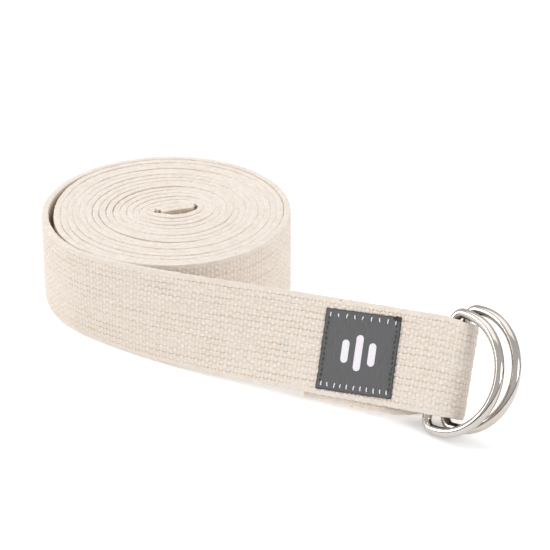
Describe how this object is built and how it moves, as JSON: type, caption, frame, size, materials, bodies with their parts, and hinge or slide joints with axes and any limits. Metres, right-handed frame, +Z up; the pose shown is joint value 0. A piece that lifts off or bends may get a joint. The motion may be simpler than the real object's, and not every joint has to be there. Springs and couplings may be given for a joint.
{
  "type": "stretching strap",
  "caption": "Flat woven cotton stretching strap on a roll, its free end folded round a pair of nickel D-rings and sewn down under a square label.",
  "frame": {"origin": "axis of the roll, at the floor that the roll stands on", "axes": "+Z up along the roll's axis, +X along the free stretch towards the D-rings, -Y towards the label's face"},
  "size_m": [0.2279, 0.1152, 0.0449],
  "materials": {
    "webbing": "undyed natural cotton, chunky plain weave",
    "pale_thread": "natural cotton sewing thread",
    "dark_thread": "dark grey sewing thread",
    "label_cloth": "dark grey woven label cloth",
    "label_print": "off-white print on the label",
    "ring_metal": "polished nickel plate on steel wire"
  },
  "bodies": {
    "roll": {"webbing_roll": "webbing", "free_end_hem_stitches": "pale_thread"},
    "tail": {"webbing_tail": "webbing"},
    "strap_end": {"webbing_end_loop": "webbing", "cut_edge_overlock": "pale_thread", "label_patch": "label_cloth", "label_motif": "label_print", "label_cross_stitches": "pale_thread", "label_side_stitches": "dark_thread"},
    "front_ring": {"d_ring_front": "ring_metal"},
    "rear_ring": {"d_ring_rear": "ring_metal"}
  },
  "joints": [
    {"name": "tail_swing", "type": "hinge", "parent": "roll", "child": "tail", "pos_m": [-0.01315, -0.04907, 0.019], "axis": [0, 0, -1], "range_deg": [0, 60]},
    {"name": "end_flex", "type": "hinge", "parent": "tail", "child": "strap_end", "pos_m": [0.08607, -0.04826, 0.02029], "axis": [-0.0604, 0.5, 0.8639], "range_deg": [-60, 60]},
    {"name": "front_ring_swivel", "type": "hinge", "parent": "strap_end", "child": "front_ring", "pos_m": [0.14274, -0.04588, 0.02137], "axis": [-0.0546, -0.4967, -0.8662], "range_deg": [0, 110]},
    {"name": "rear_ring_swivel", "type": "hinge", "parent": "strap_end", "child": "rear_ring", "pos_m": [0.14791, -0.04233, 0.02188], "axis": [0.0041, 0.499, 0.8666], "range_deg": [0, 115]}
  ]
}
